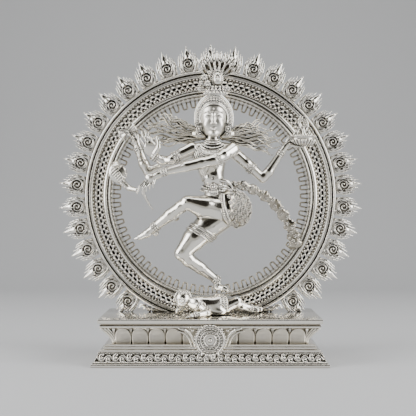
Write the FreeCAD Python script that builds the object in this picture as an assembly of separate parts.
"""Silver-plated brass nataraja statue, in millimetres.

Frame: origin at the centre of the underside, +X to the viewer's right, -Y towards the viewer, +Z up.
A hollow stepped plinth carries a pierced flame ring. In front of the ring a four-armed dancer stands
on one foot on a small reclining dwarf. Ring and figure are held by studs, washers and nuts under the slab.
"""
import FreeCAD, Part
import math
import os

# Plinth: every course is a rectangle whose half depth is its half width less one fixed amount.
DEPTH_INSET = 56.2
FOOT_HALF = 105.4
FOOT_TOP = 3.0
FRIEZE_HALF_LOW = 104.0
FRIEZE_HALF_HIGH = 99.5
FRIEZE_TOP = 12.8
STEP_LOW_HALF = 98.3
STEP_LOW_TOP = 14.8
STEP_HIGH_HALF = 94.5
STEP_TOP = 19.0
LOTUS_LEVELS = ((19.0, 87.0), (22.5, 87.8), (26.5, 90.0), (30.0, 93.2), (33.8, 97.4))
LOTUS_TOP = 33.8
LOWER_SLAB_HALF = 98.6
LOWER_SLAB_TOP = 37.6
TOP_SLAB_HALF = 100.0
PLINTH_TOP = 42.0
CAVITY_HALF = 84.0
SKIRT_CAVITY_HALF = 96.0
BOTTOM_PLATE_THICKNESS = 1.5
RELIEF = 1.2
PETAL_PITCH = 15.2
PETAL_HALF = 7.1
PETAL_LOW = 19.6
PETAL_HIGH = 33.0
PETAL_INNER_X = 32.7
FRONT_PETALS_EACH_SIDE = 4
MEDALLION_Z = 22.0
MEDALLION_RADIUS = 12.2
SCROLL_PITCH = 20.0
SCROLL_RADIUS = 3.4
SCROLL_WIRE = 0.9
SCROLL_Y = -46.5
SCROLL_Z = 7.9

# Flame ring: radii about its centre, depths from its front face.
RING_Z = 152.6
RING_FRONT = 13.0
RING_DEPTH = 22.0
OUTER_RADIUS = 119.4
OUTER_WALL_INNER = 117.0
LATTICE_OUTER = 112.7
LATTICE_INNER = 101.9
INNER_WALL_OUTER = 97.3
INNER_RADIUS = 95.3
LATTICE_SETBACK = 1.0
PLATE_THICKNESS = 1.6
LATTICE_CELLS = 124
OUTER_BEAD_CIRCLE = 111.8
INNER_BEAD_CIRCLE = 102.8
BEAD_RADIUS = 0.75
FRINGE_BAND_INNER = 92.8
FRINGE_LOOPS = 68
FRINGE_WIRE = 0.45
FRINGE_LOOP_RADIUS = 1.35
FRINGE_LEG = 2.4
FLAME_PITCH = 360.0 / 38
FLAMES_EACH_SIDE = 15
FLAME_TIP = 144.7
FLAME_THICKNESS = 3.0
FLAME_SETBACK = 0.8
SPIRAL_CIRCLE = 127.8
SPIRAL_RADIUS = 5.2

# Fasteners under the slab.
STUD_RADIUS = 2.5
STUD_LOW = 26.0
STUD_HIGH = 47.0
NUT_FLATS = 8.0
NUT_HEIGHT = 4.0
WASHER_RADIUS = 5.5
WASHER_THICKNESS = 1.0
RING_STUD_X = 18.0
RING_STUD_Y = RING_FRONT + RING_DEPTH / 2
FIGURE_STUD = (-1.0, -9.0)
POST_X = 76.0
POST_Y = 20.0
POST_RADIUS = 4.5
SCREW_RADIUS = 1.5
SCREW_HEAD_RADIUS = 3.0
SCREW_LENGTH = 10.0
RUNNING_GAP = 0.05

# Figure: stations are (x, y, z, radius), read along each limb.
TRUNK = (
    (10.0, -5.0, 146.0, 16.0, 12.0), (7.0, -5.0, 157.0, 13.5, 10.5), (2.5, -5.0, 166.0, 11.5, 9.0),
    (0.6, -6.0, 176.0, 13.5, 10.0), (0.0, -6.5, 186.0, 17.0, 11.5), (1.0, -5.5, 194.0, 17.5, 10.5),
    (1.8, -5.0, 200.0, 9.5, 8.0), (2.2, -5.0, 206.0, 6.2, 6.2),
)
HEAD_CENTRE = (2.6, -6.0, 221.6)
HEAD_RADII = (11.0, 12.0, 15.0)
CROWN_AXIS = (5.0, -4.0)
CROWN_PROFILE = (
    (235.0, 10.5), (243.0, 12.0), (246.0, 12.0), (250.0, 9.0), (255.0, 8.0), (259.0, 5.5), (262.0, 4.0),
)
FAN_CENTRE = (6.3, 258.2)
FAN_REACH = 29.5
FAN_HALF_ANGLE = 44.0
FAN_FEATHERS = 9
RAISED_THIGH = ((24.0, -7.0, 140.0, 12.0), (2.0, -14.0, 145.5, 10.5), (-22.6, -20.0, 148.6, 8.0))
RAISED_SHIN = ((-22.6, -20.0, 148.6, 7.6), (-34.0, -16.0, 137.0, 6.8), (-50.1, -10.0, 120.7, 4.0))
RAISED_FOOT = ((-48.0, -10.0, 121.5, 4.4), (-61.0, -7.0, 116.5, 4.0), (-73.4, -4.0, 112.3, 2.4))
STANDING_THIGH = ((15.0, -6.0, 132.0, 13.0), (-7.0, -12.0, 112.0, 10.8), (-27.0, -16.0, 99.5, 8.0))
STANDING_SHIN = ((-27.0, -16.0, 99.5, 7.8), (-13.0, -12.0, 89.5, 7.2), (7.2, -6.0, 75.0, 4.0))
STANDING_FOOT = ((5.5, -5.0, 70.5, 4.8), (11.0, -8.0, 67.0, 4.2), (18.0, -11.0, 64.5, 2.6))
FRONT_LEFT_ARM = (
    (21.0, -9.0, 193.0, 6.6), (8.0, -19.0, 184.5, 5.8), (-10.0, -23.0, 179.5, 5.6), (-43.3, -22.0, 170.3, 3.3),
)
FRONT_RIGHT_UPPER = ((-17.5, -7.0, 195.5, 6.6), (-31.0, -9.0, 188.0, 5.4), (-43.0, -11.0, 181.0, 4.8))
FRONT_RIGHT_FOREARM = ((-43.0, -11.0, 181.0, 4.7), (-50.0, -17.0, 181.5, 4.2), (-54.5, -21.0, 188.0, 3.3))
REAR_RIGHT_UPPER = ((-17.0, 0.0, 193.0, 6.2), (-38.0, 3.0, 184.0, 5.2), (-59.0, 1.0, 174.2, 4.4))
REAR_RIGHT_FOREARM = ((-59.0, 1.0, 174.2, 4.4), (-64.0, 2.0, 186.0, 4.0), (-68.5, 2.0, 198.0, 3.0))
REAR_LEFT_UPPER = ((21.0, -1.0, 194.0, 6.4), (39.3, -1.0, 178.0, 5.4), (51.0, 0.0, 167.5, 4.6))
REAR_LEFT_FOREARM = ((51.0, 0.0, 167.5, 4.6), (60.0, 1.0, 183.0, 4.2), (67.4, 2.0, 197.0, 3.0))
DRUM_CENTRE = (-77.9, 2.0, 214.3)
BOWL_CENTRE = (85.9, 2.0, 200.0)
BOWL_RADIUS = 12.5
COBRA_BODY = ((-69.0, 0.0, 158.0, 2.2), (-78.0, 1.5, 160.0, 2.6), (-84.5, 2.5, 166.0, 4.0))
COBRA_TAIL = ((-60.8, -9.0, 156.0, 1.3), (-58.0, -6.0, 148.0, 0.9), (-54.6, -4.0, 140.1, 0.5))
SASH_PATH = (
    (24.0, -5.0, 157.5), (34.0, 0.0, 157.0), (53.4, 6.0, 152.1),
    (68.0, 9.0, 138.5), (76.5, 9.5, 125.3), (80.0, 11.1, 106.8),
)
SASH_HALF_WIDTHS = (4.0, 4.0, 4.5, 5.0, 5.0, 7.5)
SASH_HALF_THICKNESS = 1.6
HAIR_STRANDS = 6
HAIR_ROOT_Z = (204.0, 213.5)
HAIR_TIP_Z = (203.0, 231.0)
HAIR_RADIUS = 0.9
HAIR_ROOT_HALF = 3.0
DWARF_TRUNK = (
    (-19.0, -12.0, 53.0, 5.2), (-13.0, -12.0, 52.0, 7.2), (-4.0, -10.0, 51.5, 9.5),
    (8.0, -7.0, 51.5, 12.2), (17.0, -4.0, 50.5, 8.0),
)
DWARF_THIGHS = ((14.0, -5.0, 50.0, 7.0), (28.0, 0.0, 50.0, 4.6), (43.0, 4.0, 46.4, 2.8))
DWARF_ARM = ((-7.0, -13.0, 51.0, 4.0), (-8.0, -24.0, 48.0, 3.0), (-17.3, -36.0, 44.9, 1.9))
DWARF_HEAD = (-25.1, -12.0, 55.4)
DWARF_HEAD_RADIUS = 8.6

nodes = {}


def vec(point):
    """A FreeCAD vector from the first three numbers of a point."""
    return FreeCAD.Vector(point[0], point[1], point[2])


def plan_wire(half_width, z):
    """The rectangle of one plinth course at height z."""
    half_depth = half_width - DEPTH_INSET
    signs = ((-1, -1), (1, -1), (1, 1), (-1, 1))
    points = [FreeCAD.Vector(x_side * half_width, y_side * half_depth, z) for x_side, y_side in signs]
    return Part.makePolygon(points + points[:1])


def course(levels, grow=0.0):
    """A solid plinth course with flat sloping sides through (z, half width) levels."""
    return Part.makeLoft([plan_wire(half + grow, z) for z, half in levels], True, True)


def hollow_course(levels, cavity_half):
    """A plinth course with a straight rectangular hole through it."""
    low, high = levels[0][0], levels[-1][0]
    return course(levels).cut(course(((low, cavity_half), (high, cavity_half))))


def rod(x, y, low, high, radius):
    """A vertical cylinder between two heights."""
    return Part.makeCylinder(radius, high - low, FreeCAD.Vector(x, y, low))


def ball(centre, radius):
    """A sphere."""
    return Part.makeSphere(radius, vec(centre))


def ellipsoid(centre, radii):
    """A sphere stretched to three half axes."""
    matrix = FreeCAD.Matrix()
    matrix.scale(radii[0], radii[1], radii[2])
    shape = Part.makeSphere(1.0).transformGeometry(matrix)
    shape.translate(vec(centre))
    return shape


def path_direction(points, index):
    """The direction of a path at one of its points."""
    before = vec(points[max(index - 1, 0)])
    after = vec(points[min(index + 1, len(points) - 1)])
    return (after - before).normalize()


def limb(stations):
    """A smooth round limb through (x, y, z, radius) stations."""
    wires = []
    for index, station in enumerate(stations):
        circle = Part.makeCircle(station[3], vec(station), path_direction(stations, index))
        wires.append(Part.Wire([circle]))
    return Part.makeLoft(wires, True, False)


def joined(shapes):
    """One solid out of several that overlap."""
    return shapes[0].fuse(shapes[1:]).removeSplitter()


def ring_around(stations, share, gap, thickness, width):
    """A band round a limb, at a share of the way along its middle line."""
    place = share * (len(stations) - 1)
    index = min(int(place), len(stations) - 2)
    along = place - index
    start, end = stations[index], stations[index + 1]
    centre = [a + (b - a) * along for a, b in zip(start, end)]
    axis = (vec(end) - vec(start)).normalize()
    inner = centre[3] + gap
    base = vec(centre) - axis * (width / 2)
    band = Part.makeCylinder(inner + thickness, width, base, axis)
    return band.cut(Part.makeCylinder(inner, width, base, axis))


def upright_leaf(half_width, low, high, start_y, depth):
    """A round-topped leaf prism that stands across X and runs along Y."""
    shoulder = low + (high - low) * 0.45
    bulge_z = (shoulder + high) / 2 + 1.0
    left = FreeCAD.Vector(-half_width, start_y, shoulder)
    right = FreeCAD.Vector(half_width, start_y, shoulder)
    top = FreeCAD.Vector(0, start_y, high)
    left_foot = FreeCAD.Vector(-half_width * 0.86, start_y, low)
    right_foot = FreeCAD.Vector(half_width * 0.86, start_y, low)
    edge_bulge = 0.8
    edges = [
        Part.makeLine(left_foot, left),
        Part.Arc(left, FreeCAD.Vector(-half_width * edge_bulge, start_y, bulge_z), top).toShape(),
        Part.Arc(top, FreeCAD.Vector(half_width * edge_bulge, start_y, bulge_z), right).toShape(),
        Part.makeLine(right, right_foot),
        Part.makeLine(right_foot, left_foot),
    ]
    return Part.Face(Part.Wire(edges)).extrude(FreeCAD.Vector(0, depth, 0))


def revolve_ring(profile):
    """A ring about the flame ring's axis from a (radius, depth) outline."""
    points = [FreeCAD.Vector(radius, RING_FRONT + depth, RING_Z) for radius, depth in profile]
    face = Part.Face(Part.makePolygon(points + points[:1]))
    return face.revolve(FreeCAD.Vector(0, 0, RING_Z), FreeCAD.Vector(0, 1, 0), 360)


def turned(shape, degrees):
    """A copy turned clockwise about the flame ring's axis, as the viewer sees it."""
    copy = shape.copy()
    copy.rotate(FreeCAD.Vector(0, 0, RING_Z), FreeCAD.Vector(0, 1, 0), degrees)
    return copy


def on_ring(radius, angle, depth=0.0):
    """A point on the flame ring, with the angle in degrees from the top."""
    turn = math.radians(angle)
    return FreeCAD.Vector(radius * math.sin(turn), RING_FRONT + depth, RING_Z + radius * math.cos(turn))


# ---- plinth
nodes["bottom_plate"] = course(((0.0, SKIRT_CAVITY_HALF), (BOTTOM_PLATE_THICKNESS, SKIRT_CAVITY_HALF)))
nodes["plinth_foot"] = hollow_course(((0.0, FOOT_HALF), (FOOT_TOP, FOOT_HALF)), SKIRT_CAVITY_HALF)
frieze_levels = ((FOOT_TOP, FRIEZE_HALF_LOW), (FRIEZE_TOP, FRIEZE_HALF_HIGH))
nodes["plinth_frieze"] = hollow_course(frieze_levels, SKIRT_CAVITY_HALF)
step = course(((FRIEZE_TOP, STEP_LOW_HALF), (STEP_LOW_TOP, STEP_LOW_HALF)))
step = step.fuse(course(((STEP_LOW_TOP, STEP_HIGH_HALF), (STEP_TOP, STEP_HIGH_HALF))))
nodes["plinth_step"] = step.cut(course(((FRIEZE_TOP, CAVITY_HALF), (STEP_TOP, CAVITY_HALF))))
nodes["lotus_course"] = hollow_course(LOTUS_LEVELS, CAVITY_HALF)
lower_slab_levels = ((LOTUS_TOP, LOWER_SLAB_HALF), (LOWER_SLAB_TOP, LOWER_SLAB_HALF))
nodes["lower_slab"] = hollow_course(lower_slab_levels, CAVITY_HALF)
nodes["top_slab"] = course(((LOWER_SLAB_TOP, TOP_SLAB_HALF), (PLINTH_TOP, TOP_SLAB_HALF)))

skin = course(LOTUS_LEVELS, RELIEF).cut(course(LOTUS_LEVELS))
leaf = upright_leaf(PETAL_HALF, PETAL_LOW, PETAL_HIGH, -60.0, 60.0)
cutters = []
for side in (-1, 1):
    for place in range(FRONT_PETALS_EACH_SIDE):
        front_leaf = leaf.copy()
        front_leaf.translate(FreeCAD.Vector(side * (PETAL_INNER_X + place * PETAL_PITCH), 0, 0))
        cutters.append(front_leaf)
for place in range(-5, 6):
    back_leaf = leaf.copy()
    back_leaf.translate(FreeCAD.Vector(place * PETAL_PITCH, 60.0, 0))
    cutters.append(back_leaf)
side_leaf = upright_leaf(PETAL_HALF, PETAL_LOW, PETAL_HIGH, -110.0, 110.0)
for turn in (90, -90):
    for place in (-1.5, -0.5, 0.5, 1.5):
        turned_leaf = side_leaf.copy()
        turned_leaf.rotate(FreeCAD.Vector(0, 0, 0), FreeCAD.Vector(0, 0, 1), turn)
        turned_leaf.translate(FreeCAD.Vector(0, place * PETAL_PITCH, 0))
        cutters.append(turned_leaf)
petals = [piece for cutter in cutters for piece in skin.common(cutter).Solids]
nodes["lotus_petals"] = Part.makeCompound(petals)

frieze_skin = course(frieze_levels, RELIEF).cut(course(frieze_levels))
scrolls = []
for place in range(-4, 5):
    scroll_centre = FreeCAD.Vector(place * SCROLL_PITCH, SCROLL_Y, SCROLL_Z)
    scroll = Part.makeTorus(SCROLL_RADIUS, SCROLL_WIRE, scroll_centre, FreeCAD.Vector(0, 1, 0))
    scrolls.append(scroll.cut(course(frieze_levels)))
nodes["frieze_scrolls"] = Part.makeCompound(scrolls)

medallion_front = -(TOP_SLAB_HALF - DEPTH_INSET)
medallion_centre = FreeCAD.Vector(0, medallion_front, MEDALLION_Z)
medallion_depth = 14.0
lobe_rise = 1.2
toward_back = FreeCAD.Vector(0, 1, 0)
pieces = [
    Part.makeCylinder(MEDALLION_RADIUS, medallion_depth, medallion_centre, toward_back),
    Part.makeCylinder(3.6, lobe_rise + 1.0, medallion_centre - toward_back * lobe_rise, toward_back),
]
medallion_lobes = 12
lobe_circle = MEDALLION_RADIUS * 0.72
for lobe in range(medallion_lobes):
    angle = 2 * math.pi * lobe / medallion_lobes
    offset = FreeCAD.Vector(lobe_circle * math.sin(angle), -lobe_rise, lobe_circle * math.cos(angle))
    pieces.append(Part.makeCylinder(1.6, lobe_rise + 1.0, medallion_centre + offset, toward_back))
medallion = joined(pieces)
for backing in (course(frieze_levels), step, course(LOTUS_LEVELS), course(lower_slab_levels)):
    medallion = medallion.cut(backing)
nodes["front_medallion"] = max(medallion.Solids, key=lambda solid: solid.Volume)

# ---- fasteners and posts inside the plinth
stud_places = [(-RING_STUD_X, RING_STUD_Y), (RING_STUD_X, RING_STUD_Y), FIGURE_STUD]
studs = [rod(x, y, STUD_LOW, STUD_HIGH, STUD_RADIUS) for x, y in stud_places]
nodes["mounting_studs"] = Part.makeCompound(studs)
washers = []
nuts = []
washer_low = LOWER_SLAB_TOP - WASHER_THICKNESS
for x, y in stud_places:
    bore = rod(x, y, STUD_LOW, STUD_HIGH, STUD_RADIUS + RUNNING_GAP)
    washers.append(rod(x, y, washer_low, LOWER_SLAB_TOP, WASHER_RADIUS).cut(bore))
    corner = NUT_FLATS / math.sqrt(3)
    hexagon = []
    for turn in range(0, 361, 60):
        across, back = corner * math.cos(math.radians(turn)), corner * math.sin(math.radians(turn))
        hexagon.append(FreeCAD.Vector(x + across, y + back, washer_low - NUT_HEIGHT))
    nut = Part.Face(Part.makePolygon(hexagon)).extrude(FreeCAD.Vector(0, 0, NUT_HEIGHT))
    nuts.append(nut.cut(bore))
    nodes["top_slab"] = nodes["top_slab"].cut(bore)
nodes["mounting_washers"] = Part.makeCompound(washers)
nodes["mounting_nuts"] = Part.makeCompound(nuts)

posts = []
screws = []
head_height = SCREW_HEAD_RADIUS - SCREW_RADIUS
for x in (-POST_X, POST_X):
    for y in (-POST_Y, POST_Y):
        shank = rod(x, y, 0.0, SCREW_LENGTH, SCREW_RADIUS)
        head = Part.makeCone(SCREW_HEAD_RADIUS, SCREW_RADIUS, head_height, FreeCAD.Vector(x, y, 0.0))
        room = rod(x, y, 0.0, SCREW_LENGTH + 1.0, SCREW_RADIUS + RUNNING_GAP)
        sink_radius = SCREW_HEAD_RADIUS + RUNNING_GAP
        sink = Part.makeCone(sink_radius, SCREW_RADIUS + RUNNING_GAP, head_height, FreeCAD.Vector(x, y, 0.0))
        nodes["bottom_plate"] = nodes["bottom_plate"].cut(room).cut(sink)
        posts.append(rod(x, y, BOTTOM_PLATE_THICKNESS, LOWER_SLAB_TOP, POST_RADIUS).cut(room))
        screws.append(head.fuse(shank))
nodes["corner_posts"] = Part.makeCompound(posts)
nodes["bottom_plate_screws"] = Part.makeCompound(screws)

# ---- flame ring
below_slab_top = Part.makeBox(400, 200, 200, FreeCAD.Vector(-200, -100, PLINTH_TOP - 200))
outer_rim = revolve_ring((
    (OUTER_RADIUS, RING_DEPTH), (OUTER_RADIUS, 0.0), (118.7, -0.7), (117.6, -0.7), (117.0, 0.0), (116.6, 1.0),
    (115.6, 1.0), (115.2, 0.0), (LATTICE_OUTER, 0.0), (LATTICE_OUTER, 2.6), (OUTER_WALL_INNER, 2.6),
    (OUTER_WALL_INNER, RING_DEPTH),
))
nodes["ring_outer_rim"] = outer_rim.cut(below_slab_top)
nodes["ring_inner_rim"] = revolve_ring((
    (INNER_RADIUS, RING_DEPTH), (INNER_RADIUS, 0.4), (95.9, -0.6), (96.8, 0.0), (97.3, 1.0), (98.0, 1.0),
    (98.5, 0.0), (LATTICE_INNER, 0.0), (LATTICE_INNER, 2.6), (INNER_WALL_OUTER, 2.6),
    (INNER_WALL_OUTER, RING_DEPTH),
))
back_start = RING_DEPTH - PLATE_THICKNESS
nodes["ring_back_plate"] = revolve_ring((
    (INNER_WALL_OUTER, back_start), (OUTER_WALL_INNER, back_start),
    (OUTER_WALL_INNER, RING_DEPTH), (INNER_WALL_OUTER, RING_DEPTH),
)).cut(below_slab_top)


def lattice_hole(radius, angle, half_width, half_height):
    """A four-cornered lattice hole, as a closed wire on the lattice's front face."""
    turn = math.degrees(half_width / radius)
    corners = (
        (radius + half_height, angle), (radius, angle + turn),
        (radius - half_height, angle), (radius, angle - turn),
    )
    points = [on_ring(corner, place, LATTICE_SETBACK) for corner, place in corners]
    return Part.makePolygon(points + points[:1])


lattice_axis = FreeCAD.Vector(0, 1, 0)
lattice_centre = FreeCAD.Vector(0, RING_FRONT + LATTICE_SETBACK, RING_Z)
lattice_wires = [
    Part.Wire([Part.makeCircle(LATTICE_OUTER, lattice_centre, lattice_axis)]),
    Part.Wire([Part.makeCircle(LATTICE_INNER, lattice_centre, lattice_axis)]),
]
cell_turn = 360.0 / LATTICE_CELLS
for cell in range(LATTICE_CELLS):
    angle = cell * cell_turn
    lattice_wires.append(lattice_hole(109.6, angle, 0.9, 0.8))
    lattice_wires.append(lattice_hole(107.6, angle + cell_turn / 2, 1.8, 1.0))
    lattice_wires.append(lattice_hole(105.0, angle, 1.4, 1.3))
lattice_face = Part.makeFace(lattice_wires, "Part::FaceMakerBullseye")
nodes["ring_lattice"] = lattice_face.extrude(FreeCAD.Vector(0, PLATE_THICKNESS, 0))

bead_block = Part.makeBox(4, 4, 4, FreeCAD.Vector(-2, RING_FRONT + LATTICE_SETBACK, RING_Z - 2))
for name, circle in (("ring_outer_beads", OUTER_BEAD_CIRCLE), ("ring_inner_beads", INNER_BEAD_CIRCLE)):
    block = bead_block.copy()
    block.translate(FreeCAD.Vector(0, 0, circle))
    bead = ball((0, RING_FRONT + LATTICE_SETBACK, RING_Z + circle), BEAD_RADIUS).cut(block)
    nodes[name] = Part.makeCompound([turned(bead, cell * cell_turn) for cell in range(LATTICE_CELLS)])

fringe_front = RING_DEPTH - PLATE_THICKNESS
nodes["fringe_band"] = revolve_ring((
    (FRINGE_BAND_INNER, fringe_front), (INNER_RADIUS, fringe_front),
    (INNER_RADIUS, RING_DEPTH), (FRINGE_BAND_INNER, RING_DEPTH),
))
loop_y = RING_FRONT + RING_DEPTH - PLATE_THICKNESS / 2
leg_end = RING_Z + FRINGE_BAND_INNER - FRINGE_LEG
left_top = FreeCAD.Vector(-FRINGE_LOOP_RADIUS, loop_y, RING_Z + FRINGE_BAND_INNER)
left_low = FreeCAD.Vector(-FRINGE_LOOP_RADIUS, loop_y, leg_end)
right_low = FreeCAD.Vector(FRINGE_LOOP_RADIUS, loop_y, leg_end)
right_top = FreeCAD.Vector(FRINGE_LOOP_RADIUS, loop_y, RING_Z + FRINGE_BAND_INNER)
loop_path = Part.Wire([
    Part.makeLine(left_top, left_low),
    Part.Arc(left_low, FreeCAD.Vector(0, loop_y, leg_end - FRINGE_LOOP_RADIUS), right_low).toShape(),
    Part.makeLine(right_low, right_top),
])
loop_section = Part.Wire([Part.makeCircle(FRINGE_WIRE, left_top, FreeCAD.Vector(0, 0, 1))])
loop = loop_path.makePipeShell([loop_section], True, False).cut(nodes["fringe_band"])
loop_turn = 360.0 / FRINGE_LOOPS
loops = [turned(loop, place * loop_turn) for place in range(FRINGE_LOOPS)]
nodes["fringe_loops"] = Part.makeCompound(loops)


def flame_point(across, radius):
    """A point on the flame that stands at the top of the ring."""
    return FreeCAD.Vector(across, RING_FRONT + FLAME_SETBACK, RING_Z + radius)


def arc_through(start, middle, end):
    """The edge of an arc through three (across, radius) points."""
    return Part.Arc(flame_point(*start), flame_point(*middle), flame_point(*end)).toShape()


foot_half = 9.2
foot_radius = math.sqrt(OUTER_RADIUS ** 2 - foot_half ** 2)
flame_outline = [
    arc_through((-foot_half, foot_radius), (-9.7, 127.0), (-8.0, 136.5)),
    arc_through((-8.0, 136.5), (-7.2, 134.5), (-5.6, 133.6)),
    arc_through((-5.6, 133.6), (-3.6, 138.6), (0.6, FLAME_TIP)),
    arc_through((0.6, FLAME_TIP), (2.6, 138.4), (5.8, 133.8)),
    arc_through((5.8, 133.8), (7.2, 134.9), (8.0, 137.2)),
    arc_through((8.0, 137.2), (9.7, 127.6), (foot_half, foot_radius)),
    arc_through((foot_half, foot_radius), (0.0, OUTER_RADIUS), (-foot_half, foot_radius)),
]
flame = Part.Face(Part.Wire(flame_outline)).extrude(FreeCAD.Vector(0, FLAME_THICKNESS, 0))
spiral_centre = flame_point(0.0, SPIRAL_CIRCLE) - FreeCAD.Vector(0, FLAME_SETBACK, 0)
spiral = Part.makeCylinder(SPIRAL_RADIUS, FLAME_SETBACK, spiral_centre, FreeCAD.Vector(0, 1, 0))
flame = flame.fuse(spiral)
flames = [turned(flame, place * FLAME_PITCH) for place in range(-FLAMES_EACH_SIDE, FLAMES_EACH_SIDE + 1)]
flames = [one.cut(below_slab_top) for one in flames]
nodes["ring_flames"] = Part.makeCompound([solid for one in flames for solid in one.Solids])

foot_leaves = []
ring_middle = FreeCAD.Vector(0, RING_FRONT, RING_Z)
ring_cylinder = Part.makeCylinder(OUTER_RADIUS, RING_DEPTH, ring_middle, lattice_axis)
for side in (-1, 1):
    last_flame = flames[0] if side < 0 else flames[-1]
    corners = [(50.0, PLINTH_TOP), (69.0, PLINTH_TOP), (71.0, 47.0), (62.0, 55.0)]
    points = [FreeCAD.Vector(side * x, RING_FRONT + FLAME_SETBACK, z) for x, z in corners]
    outline = Part.Face(Part.makePolygon(points + points[:1]))
    plate = outline.extrude(FreeCAD.Vector(0, FLAME_THICKNESS, 0)).cut(ring_cylinder).cut(last_flame)
    foot_leaves.append(max(plate.Solids, key=lambda solid: solid.Volume))
nodes["ring_foot_leaves"] = Part.makeCompound(foot_leaves)

block_start = LATTICE_SETBACK + PLATE_THICKNESS
block_half = 38.0
block_height = 9.0
block_corner = FreeCAD.Vector(-block_half, RING_FRONT + block_start, PLINTH_TOP)
block = Part.makeBox(2 * block_half, back_start - block_start, block_height, block_corner)
block = block.common(Part.makeCylinder(OUTER_WALL_INNER, RING_DEPTH, ring_middle, lattice_axis))
nodes["ring_foot_block"] = block.cut(nodes["ring_outer_rim"]).cut(nodes["mounting_studs"])

# ---- figure
trunk_wires = []
for x, y, z, half_x, half_y in TRUNK:
    ellipse = Part.Ellipse(FreeCAD.Vector(x, y, z), half_x, half_y)
    trunk_wires.append(Part.Wire([ellipse.toShape()]))
nodes["torso"] = Part.makeLoft(trunk_wires, True, False)

skull = ellipsoid(HEAD_CENTRE, HEAD_RADII)
nose_foot = FreeCAD.Vector(HEAD_CENTRE[0], HEAD_CENTRE[1] - HEAD_RADII[1] + 0.4, HEAD_CENTRE[2] - 4.5)
nose = Part.makeCone(2.2, 0.9, 7.0, nose_foot)
nodes["head"] = joined([skull, nose]).cut(nodes["torso"])

ear_rings = []
for side in (-1, 1):
    place = FreeCAD.Vector(HEAD_CENTRE[0] + side * 12.3, HEAD_CENTRE[1], HEAD_CENTRE[2] - 8.0)
    ear_rings.append(Part.makeTorus(2.6, 0.9, place, FreeCAD.Vector(1, 0, 0)).cut(nodes["head"]))
nodes["ear_rings"] = Part.makeCompound(ear_rings)

crown_points = [FreeCAD.Vector(CROWN_AXIS[0] + radius, CROWN_AXIS[1], z) for z, radius in CROWN_PROFILE]
crown_foot = FreeCAD.Vector(CROWN_AXIS[0], CROWN_AXIS[1], CROWN_PROFILE[0][0])
crown_top = FreeCAD.Vector(CROWN_AXIS[0], CROWN_AXIS[1], CROWN_PROFILE[-1][0])
crown_face = Part.Face(Part.makePolygon([crown_foot] + crown_points + [crown_top, crown_foot]))
nodes["crown"] = crown_face.revolve(crown_foot, FreeCAD.Vector(0, 0, 1), 360).cut(nodes["head"])
band_centre = FreeCAD.Vector(HEAD_CENTRE[0], HEAD_CENTRE[1], HEAD_CENTRE[2] + 10.5)
headband = Part.makeTorus(10.4, 2.6, band_centre, FreeCAD.Vector(0, -0.35, 1))
nodes["headband"] = headband.cut(nodes["head"]).cut(nodes["crown"])
boss_centre = (FAN_CENTRE[0], -9.0, FAN_CENTRE[1] + 2.5)
nodes["crest_boss"] = ball(boss_centre, 4.6).cut(nodes["crown"])

fan_y = -4.0
fan_root = 6.0
fan_thickness = 3.0


def fan_point(reach, degrees):
    """A point of the crest fan, with the angle in degrees from straight up."""
    turn = math.radians(degrees)
    across, rise = reach * math.sin(turn), reach * math.cos(turn)
    return FreeCAD.Vector(FAN_CENTRE[0] + across, fan_y, FAN_CENTRE[1] + rise)


feather_turn = 2 * FAN_HALF_ANGLE / FAN_FEATHERS
fan_valley = FAN_REACH * 0.84
fan_shoulder = FAN_REACH * 0.94
fan_outline = [fan_point(fan_root, -FAN_HALF_ANGLE)]
for feather in range(FAN_FEATHERS):
    start = -FAN_HALF_ANGLE + feather * feather_turn
    fan_outline.append(fan_point(fan_valley, start))
    fan_outline.append(fan_point(fan_shoulder, start + feather_turn * 0.2))
    fan_outline.append(fan_point(FAN_REACH, start + feather_turn * 0.5))
    fan_outline.append(fan_point(fan_shoulder, start + feather_turn * 0.8))
fan_outline.append(fan_point(fan_valley, FAN_HALF_ANGLE))
fan_outline.append(fan_point(fan_root, FAN_HALF_ANGLE))
fan_face = Part.Face(Part.makePolygon(fan_outline + fan_outline[:1]))
fan = fan_face.extrude(FreeCAD.Vector(0, fan_thickness, 0))
nodes["crest_feathers"] = fan.cut(nodes["crown"]).cut(nodes["crest_boss"])


def hand(wrist, tip, spread, palm_radius):
    """A mitten of palm, four fingers and thumb from the wrist to the finger tips."""
    start, end = vec(wrist), vec(tip)
    along = (end - start).normalize()
    across = vec(spread).normalize()
    length = (end - start).Length
    palm_centre = start + along * (length * 0.3)
    palm_end = start + along * (length * 0.55)
    pieces = [limb(((*start, palm_radius * 0.8), (*palm_centre, palm_radius), (*palm_end, palm_radius * 0.85)))]
    for finger in range(4):
        offset = across * ((finger - 1.5) * palm_radius * 0.5)
        knuckle = start + along * (length * 0.45) + offset
        finger_tip = end + offset * 1.5
        pieces.append(limb(((*knuckle, 1.25), (*((knuckle + finger_tip) * 0.5), 1.15), (*finger_tip, 0.8))))
    thumb_root = start + along * (length * 0.25) + across * (palm_radius * 0.4)
    thumb_tip = thumb_root + along * (length * 0.35) + across * (palm_radius * 1.0)
    pieces.append(limb(((*thumb_root, 1.5), (*((thumb_root + thumb_tip) * 0.5), 1.35), (*thumb_tip, 0.9))))
    return joined(pieces)


def jointed(first, second, extras=()):
    """Two limbs and the round joint between them, with any extra pieces."""
    middle = first[-1]
    return joined([limb(first), limb(second), ball(middle, middle[3] * 1.04)] + list(extras))


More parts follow.
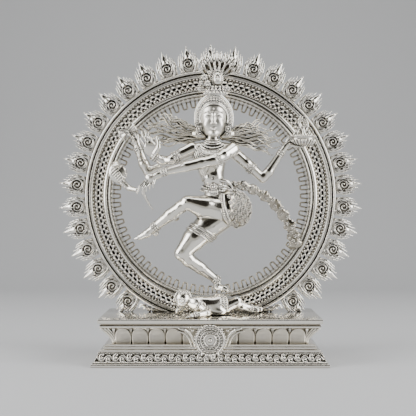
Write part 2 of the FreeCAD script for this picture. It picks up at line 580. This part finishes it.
left_hand = hand(FRONT_LEFT_ARM[-1], (-62.0, -21.0, 156.5), (0.6, -0.3, 0.9), 4.0)
arm = joined([limb(FRONT_LEFT_ARM), ball(FRONT_LEFT_ARM[0], 7.2), left_hand])
nodes["front_left_arm"] = arm.cut(nodes["torso"])
right_hand = hand(FRONT_RIGHT_FOREARM[-1], (-56.5, -22.5, 209.0), (1.0, 0.0, 0.0), 4.6)
arm = jointed(FRONT_RIGHT_UPPER, FRONT_RIGHT_FOREARM, [ball(FRONT_RIGHT_UPPER[0], 7.2), right_hand])
nodes["front_right_arm"] = arm.cut(nodes["torso"])
drum_hand = hand(REAR_RIGHT_FOREARM[-1], (-72.0, 1.0, 212.0), (0.0, 1.0, 0.0), 3.4)
arm = jointed(REAR_RIGHT_UPPER, REAR_RIGHT_FOREARM, [drum_hand])
nodes["rear_right_arm"] = arm.cut(nodes["torso"]).cut(nodes["front_right_arm"])
bowl_hand = hand(REAR_LEFT_FOREARM[-1], (78.0, 2.0, 203.5), (0.0, 1.0, 0.0), 3.4)
arm = jointed(REAR_LEFT_UPPER, REAR_LEFT_FOREARM, [bowl_hand])
nodes["rear_left_arm"] = arm.cut(nodes["torso"]).cut(nodes["front_left_arm"])

leg = jointed(RAISED_THIGH, RAISED_SHIN, [limb(RAISED_FOOT), ball(RAISED_SHIN[-1], 4.6)])
nodes["raised_leg"] = leg.cut(nodes["torso"])
heel = ball((5.5, -5.0, 69.0), 5.0)
leg = jointed(STANDING_THIGH, STANDING_SHIN, [limb(STANDING_FOOT), ball(STANDING_SHIN[-1], 4.8), heel])
nodes["standing_leg"] = leg.cut(nodes["torso"]).cut(nodes["raised_leg"])

cloth_levels = (
    (23.0, 132.0, 15.5, 13.5), (20.0, 142.0, 17.5, 14.0), (13.0, 152.0, 16.5, 13.0), (7.5, 158.0, 14.0, 11.2),
)
cloth_wires = []
for x, z, half_x, half_y in cloth_levels:
    cloth_wires.append(Part.Wire([Part.Ellipse(FreeCAD.Vector(x, -5.0, z), half_x, half_y).toShape()]))
cloth = Part.makeLoft(cloth_wires, True, False)
for name in ("torso", "raised_leg", "standing_leg"):
    cloth = cloth.cut(nodes[name])
nodes["hip_cloth"] = max(cloth.Solids, key=lambda solid: solid.Volume)

belt_wires = [
    Part.Wire([Part.Ellipse(FreeCAD.Vector(6.5, -5.0, z), 15.0, 12.2).toShape()]) for z in (158.0, 162.5)
]
nodes["waist_belt"] = Part.makeLoft(belt_wires, True, True).cut(nodes["torso"])
hem = ring_around(STANDING_THIGH, 0.62, 0.5, 1.6, 9.0)
nodes["thigh_hem"] = hem.cut(nodes["standing_leg"]).cut(nodes["hip_cloth"]).cut(nodes["raised_leg"])

collar_wires = [
    Part.Wire([Part.Ellipse(FreeCAD.Vector(x, -5.5, z), half_x, half_y).toShape()])
    for x, z, half_x, half_y in ((0.5, 186.0, 14.0, 13.0), (1.2, 195.0, 13.5, 12.0), (2.0, 203.5, 8.0, 7.6))
]
collar = Part.makeLoft(collar_wires, True, True)
for name in ("torso", "head", "front_left_arm", "front_right_arm", "rear_left_arm", "rear_right_arm"):
    collar = collar.cut(nodes[name])
nodes["necklaces"] = Part.makeCompound([solid for solid in collar.Solids if solid.Volume > 20.0])

arm_paths = (FRONT_RIGHT_UPPER, REAR_RIGHT_UPPER, REAR_LEFT_UPPER)
forearm_paths = (FRONT_RIGHT_FOREARM, REAR_RIGHT_FOREARM, REAR_LEFT_FOREARM)
bangles = []
for path in forearm_paths:
    for share in (0.8, 0.9):
        bangles.append(ring_around(path, share, 0.35, 1.0, 1.5))
for share in (0.9, 0.94):
    bangles.append(ring_around(FRONT_LEFT_ARM, share, 0.35, 1.0, 1.5))
limb_names = ("front_left_arm", "front_right_arm", "rear_left_arm", "rear_right_arm", "torso", "necklaces")


def clear_of(shape, names):
    """The largest solid left of a shape once the neighbours that reach it are cut away."""
    for name in names:
        if shape.BoundBox.intersect(nodes[name].BoundBox):
            shape = shape.cut(nodes[name])
    return max(shape.Solids, key=lambda solid: solid.Volume)


nodes["bangles"] = Part.makeCompound([clear_of(band, limb_names) for band in bangles])
armlets = [ring_around(path, 0.5, 0.35, 1.3, 3.0) for path in arm_paths]
nodes["armlets"] = Part.makeCompound([clear_of(band, limb_names) for band in armlets])
anklets = [ring_around(RAISED_SHIN, 0.93, 0.4, 1.3, 2.6), ring_around(STANDING_SHIN, 0.93, 0.4, 1.3, 2.6)]
nodes["anklets"] = Part.makeCompound([clear_of(band, ("raised_leg", "standing_leg")) for band in anklets])

cord_path = (
    (12.0, -14.5, 197.0, 1.1), (8.0, -18.8, 188.0, 1.1), (2.0, -17.2, 176.0, 1.1),
    (-3.0, -14.8, 166.0, 1.1), (-5.0, -13.5, 160.0, 1.1),
)
nodes["chest_cord"] = clear_of(limb(cord_path), limb_names + ("waist_belt", "hip_cloth"))

# ---- what the hands hold
drum_profile = ((-7.0, 0.0), (-7.0, 5.0), (-5.8, 5.4), (0.0, 2.2), (5.8, 5.4), (7.0, 5.0), (7.0, 0.0))
drum_points = [vec(DRUM_CENTRE) + FreeCAD.Vector(along, 0, radius) for along, radius in drum_profile]
drum_start = drum_points[0]
drum_face = Part.Face(Part.makePolygon(drum_points + drum_points[:1]))
nodes["hourglass_drum"] = drum_face.revolve(drum_start, FreeCAD.Vector(1, 0, 0), 360).cut(nodes["rear_right_arm"])

bowl_profile = (
    (0.0, 0.0), (5.0, 0.0), (10.5, 3.0), (BOWL_RADIUS, 7.5), (10.9, 7.5), (9.4, 4.0), (4.6, 1.8), (0.0, 1.8),
)
bowl_points = [vec(BOWL_CENTRE) + FreeCAD.Vector(radius, 0, rise) for radius, rise in bowl_profile]
bowl_face = Part.Face(Part.makePolygon(bowl_points + bowl_points[:1]))
bowl = bowl_face.revolve(vec(BOWL_CENTRE), FreeCAD.Vector(0, 0, 1), 360)
before_ring = Part.makeBox(60, 40, 60, FreeCAD.Vector(BOWL_CENTRE[0] - 30, -29.0, 180))
bowl = bowl.common(before_ring)
nodes["fire_bowl"] = clear_of(bowl, ("rear_left_arm",))
tongues = []
for place, height in ((-5.5, 14.0), (0.0, 22.0), (5.5, 16.0)):
    foot = (BOWL_CENTRE[0] + place, BOWL_CENTRE[1], BOWL_CENTRE[2] + 2.5)
    middle = (foot[0] - 0.8, foot[1], foot[2] + height * 0.45)
    tip = (foot[0] + 0.8, foot[1], foot[2] + height)
    tongues.append(limb(((*foot, 3.2), (*middle, 2.9), (*tip, 0.6))))
nodes["bowl_fire"] = clear_of(joined(tongues), ("fire_bowl",))

hood = ellipsoid((-85.7, 3.0, 173.5), (9.3, 3.2, 10.2))
snake_parts = (joined([hood, limb(COBRA_BODY)]), limb(COBRA_TAIL))
nodes["cobra"] = Part.makeCompound([clear_of(piece, ("front_left_arm",)) for piece in snake_parts])

sash_wires = []
for index, point in enumerate(SASH_PATH):
    direction = path_direction(SASH_PATH, index)
    across = FreeCAD.Vector(0, 1, 0).cross(direction).normalize()
    half = SASH_HALF_WIDTHS[index]
    thick = FreeCAD.Vector(0, SASH_HALF_THICKNESS, 0)
    corners = [
        vec(point) - across * half - thick, vec(point) + across * half - thick,
        vec(point) + across * half + thick, vec(point) - across * half + thick,
    ]
    sash_wires.append(Part.makePolygon(corners + corners[:1]))
nodes["flying_sash"] = clear_of(Part.makeLoft(sash_wires, True, True), ("hip_cloth", "torso"))

for side, name, root_x, tip_x in ((-1, "hair_left", -9.5, -73.0), (1, "hair_right", 15.0, 69.5)):
    strand_x = root_x + side * HAIR_ROOT_HALF
    root_size = (2 * HAIR_ROOT_HALF, 4.0, HAIR_ROOT_Z[1] - HAIR_ROOT_Z[0] + 2 * HAIR_RADIUS)
    root_corner = FreeCAD.Vector(root_x - HAIR_ROOT_HALF, -5.0, HAIR_ROOT_Z[0] - HAIR_RADIUS)
    root = Part.makeBox(*root_size, root_corner)
    neighbours = limb_names + ("head", "headband", "ear_rings", "hourglass_drum", "fire_bowl", "bowl_fire")
    locks = [clear_of(root, neighbours)]
    for strand in range(HAIR_STRANDS):
        share = strand / (HAIR_STRANDS - 1)
        root_z = HAIR_ROOT_Z[0] + (HAIR_ROOT_Z[1] - HAIR_ROOT_Z[0]) * share
        tip_z = HAIR_TIP_Z[0] + (HAIR_TIP_Z[1] - HAIR_TIP_Z[0]) * share
        stations = []
        for step_index in range(7):
            along = step_index / 6
            ripple = 1.0 * math.sin(along * 3 * math.pi) * along
            stations.append((
                strand_x + (tip_x - strand_x) * along,
                -3.0 + 12.0 * along ** 2,
                root_z + (tip_z - root_z) * along ** 1.2 + ripple,
                HAIR_RADIUS * (1.0 - 0.45 * along),
            ))
        locks.append(clear_of(limb(stations), neighbours))
    nodes[name] = Part.makeCompound(locks)

# ---- dwarf under the standing foot
dwarf = limb(DWARF_TRUNK).fuse([limb(DWARF_THIGHS), limb(DWARF_ARM)])
dwarf = dwarf.cut(below_slab_top).cut(nodes["standing_leg"]).cut(nodes["mounting_studs"])
nodes["dwarf_body"] = max(dwarf.Solids, key=lambda solid: solid.Volume)
nodes["dwarf_head"] = ball(DWARF_HEAD, DWARF_HEAD_RADIUS).cut(nodes["dwarf_body"]).cut(below_slab_top)

os.makedirs("parts", exist_ok=True)
for name, shape in nodes.items():
    shape.exportStep("parts/" + name + ".step")
    print(name, len(shape.Solids), round(shape.Volume, 1), shape.isValid())
